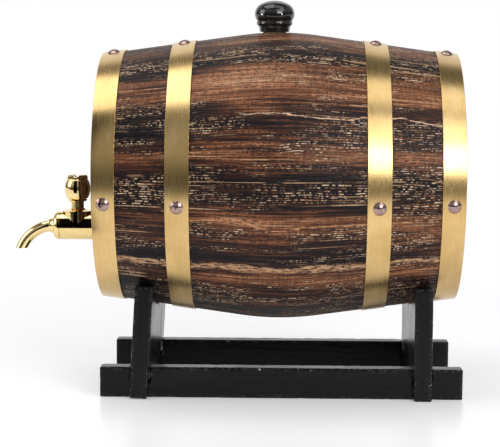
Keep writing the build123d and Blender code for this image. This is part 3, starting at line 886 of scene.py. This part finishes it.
HEAD_BANDS = [
    (0.0, 0.30),
    (0.14, 0.62),
    (0.25, 0.24),
    (0.38, 0.56),
    (0.5, 0.18),
    (0.66, 0.60),
    (0.8, 0.28),
    (1.0, 0.30),
]

materials = {
    "oak_stave": oak("oak_stave", STAVE_BANDS, STAVE_RIDGES),
    "oak_head": oak("oak_head", HEAD_BANDS, calm=0.045),
    "dowel_wood": beech(),
    "cork": cork_wood(),
    "black_lacquer": gloss_black(),
    "black_stand": black_paint("black_rail", 0),
    "brass_hoop": brass_strip(),
    "copper_rivet": copper_dome(),
    "gold_tap": polished_gold(),
    "brass_fitting": machined_brass(),
    "rubber_seal": rubber(),
}
cradle_paint = black_paint("black_cradle", 2)


def paint(obj, material):
    """Makes that the object's only material."""
    obj.data.materials.clear()
    obj.data.materials.append(material)


for made in staves:
    paint(made, materials["oak_stave"])
    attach(made, "barrel")
for made in boards.values():
    paint(made, materials["oak_head"])
    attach(made, "barrel")
for part in frame["record"]["subparts"]:
    node = nodes[part["node"]]
    paint(node, materials[part["material_slot"]])
for name, made in stand_boards.items():
    paint(made, cradle_paint if "cradle" in name else materials["black_stand"])
    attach(made, "stand")

# ---- Floor ---------------------------------------------------------------------------------------

FLOOR_REACH = 6.0
FLOOR_EDGE = -0.72  # its front edge, out of the picture. The metal reflects the dark room before it.
FADE_START = 0.26  # this far from the object's middle the floor starts to fade into the background
FADE_END = 0.66

floor = make_object(
    "floor",
    [
        (-FLOOR_REACH, FLOOR_EDGE, 0),
        (FLOOR_REACH, FLOOR_EDGE, 0),
        (FLOOR_REACH, FLOOR_REACH, 0),
        (-FLOOR_REACH, FLOOR_REACH, 0),
    ],
    [(0, 1, 2, 3)],
)
m = Material("studio_floor")
m.set(
    Base_Color=(0.84, 0.835, 0.86),
    Roughness=0.30,
    Specular_IOR_Level=0.35,
    Emission_Color=(1.0, 1.0, 1.02),
    Emission_Strength=0.24,
)
sweep = m.add("Emission", Color=rgba(1), Strength=1.0)
far = m.span(m.vector_math("LENGTH", m.place(1), out="Value"), FADE_START, FADE_END)
blend = m.new("MixShader")
m.put(blend.inputs[0], far)
m.put(blend.inputs[1], m.shader.outputs[0])
m.put(blend.inputs[2], sweep)
m.put(m.output.inputs["Surface"], blend.outputs[0])
paint(floor, m.material)

# ---- Light ---------------------------------------------------------------------------------------

# the camera sees a white room, and everything else sees a grey one with a white wall at the back
world = bpy.data.worlds.new("studio")
bpy.context.scene.world = world
world.use_nodes = True
w = Nodes(world.node_tree)
x, y, z = w.split(w.add("TexCoord", out="Generated"))
walls = w.ramp(
    z,
    [(0.0, 0.08), (0.06, 0.09), (0.36, 0.44), (0.60, 0.44), (0.80, 0.15), (0.92, 0.10), (1.0, 0.10)],
)
room = w.mix(w.span(y, 0.56, 0.70), walls, (1, 1, 1))
seen = w.mix(w.add("LightPath", out="Is Camera Ray"), room, (1, 1, 1))
w.put(w.tree.nodes["Background"].inputs["Color"], seen)


def softbox(name, place, target, size, radiance):
    """A rectangular lamp at that place, turned to the target.

    The radiance is its brightness, where 1 is as bright as the white background.
    """
    lamp = bpy.data.lights.new(name, "AREA")
    lamp.shape = "RECTANGLE"
    lamp.size, lamp.size_y = size
    lamp.energy = radiance * math.pi * size[0] * size[1]
    made = bpy.data.objects.new(name, lamp)
    bpy.context.scene.collection.objects.link(made)
    made.location = place
    made.rotation_euler = (Vector(target) - Vector(place)).to_track_quat("-Z", "Y").to_euler()
    made.visible_camera = False
    return made


def seen_from_barrel(azimuth, elevation, distance):
    """A place in that direction from the barrel: azimuth 0 is the front, and 90 is towards +X."""
    a = math.radians(azimuth)
    e = math.radians(elevation)
    direction = Vector((math.sin(a) * math.cos(e), -math.cos(a) * math.cos(e), math.sin(e)))
    return middle + distance * direction


CEILING = 1.37
for name, aside, y, size, radiance in (
    ("overhead_left", -0.44, -0.12, (0.84, 0.88), 2.3),
    ("overhead_right", 0.40, -0.24, (0.80, 0.58), 1.3),
):
    softbox(name, (CX + aside, y, CEILING), (CX + aside, y, 0), size, radiance)
for name, azimuth, elevation, distance, size, radiance in (
    ("right_box", 31, 28, 1.5, (0.80, 1.25), 1.6),
    ("right_hot", 31, 18, 1.45, (0.72, 0.50), 4.5),
    ("right_key", 56, 42, 1.6, (0.50, 0.80), 1.6),
    ("left_box", -78, 20, 1.4, (0.75, 0.8), 2.6),
):
    softbox(name, seen_from_barrel(azimuth, elevation, distance), middle, size, radiance)

# two small round lamps give the lacquered bung its catchlights, and light nothing else
CATCHLIGHT_WIDTH = 0.17
CATCHLIGHT_RADIANCE = 26.0
CATCHLIGHT_ELEVATION = 1.5
CATCHLIGHT_DISTANCE = 1.2
on_bung = middle + Vector((0, 0, 0.12))
lacquered = bpy.data.collections.new("lacquered")
lacquered.objects.link(bpy.data.objects["bung_knob"])
for name, azimuth in (("catchlight_left", -79), ("catchlight_right", 43)):
    place = seen_from_barrel(azimuth, CATCHLIGHT_ELEVATION, CATCHLIGHT_DISTANCE)
    size = (CATCHLIGHT_WIDTH, CATCHLIGHT_WIDTH)
    spot = softbox(name, place, on_bung, size, CATCHLIGHT_RADIANCE)
    spot.data.shape = "DISK"
    spot.light_linking.receiver_collection = lacquered

# a black flag, as in a product studio, gives the polished tap its dark band
FLAG_Y = -0.125
FLAG_BOTTOM = 0.090
FLAG_TOP = 0.330
flag_left = tap_low.x - 0.055
flag_right = tap_low.x + 0.022
flag = make_object(
    "tap_flag",
    [
        (flag_left, FLAG_Y, FLAG_BOTTOM),
        (flag_right, FLAG_Y, FLAG_BOTTOM),
        (flag_right, FLAG_Y, FLAG_TOP),
        (flag_left, FLAG_Y, FLAG_TOP),
    ],
    [(0, 1, 2, 3)],
)
flag.visible_camera = False
flag.visible_shadow = False
flag.visible_diffuse = False
m = Material("flag_cloth")
cloth = m.mix(m.noise(m.place(900)), (0.001, 0.001, 0.001), (0.004, 0.004, 0.004))
m.set(Base_Color=cloth, Roughness=1.0, Specular_IOR_Level=0.0)
paint(flag, m.material)

# ---- Camera --------------------------------------------------------------------------------------

CAMERA_PLACE = Vector((CX + 0.0112, -1.287, 0.2725))
LENS = 115.8  # millimetres, as is the sensor
SENSOR = 36
YAW = math.radians(-1.54)
PITCH = math.radians(6.37)  # downwards
ROLL = math.radians(0.21)
forward = Vector((math.sin(YAW) * math.cos(PITCH), math.cos(YAW) * math.cos(PITCH), -math.sin(PITCH)))
level = Vector((math.cos(YAW), -math.sin(YAW), 0))
upright = level.cross(forward)
right = level * math.cos(ROLL) + upright * math.sin(ROLL)
up = -level * math.sin(ROLL) + upright * math.cos(ROLL)
camera_data = bpy.data.cameras.new("camera")
camera_data.lens = LENS
camera_data.sensor_width = SENSOR
camera = bpy.data.objects.new("camera", camera_data)
bpy.context.scene.collection.objects.link(camera)
rotation = Matrix((right, up, -forward)).transposed().to_4x4()
camera.matrix_world = Matrix.Translation(CAMERA_PLACE) @ rotation
bpy.context.scene.camera = camera
bpy.context.scene.view_settings.view_transform = "Standard"
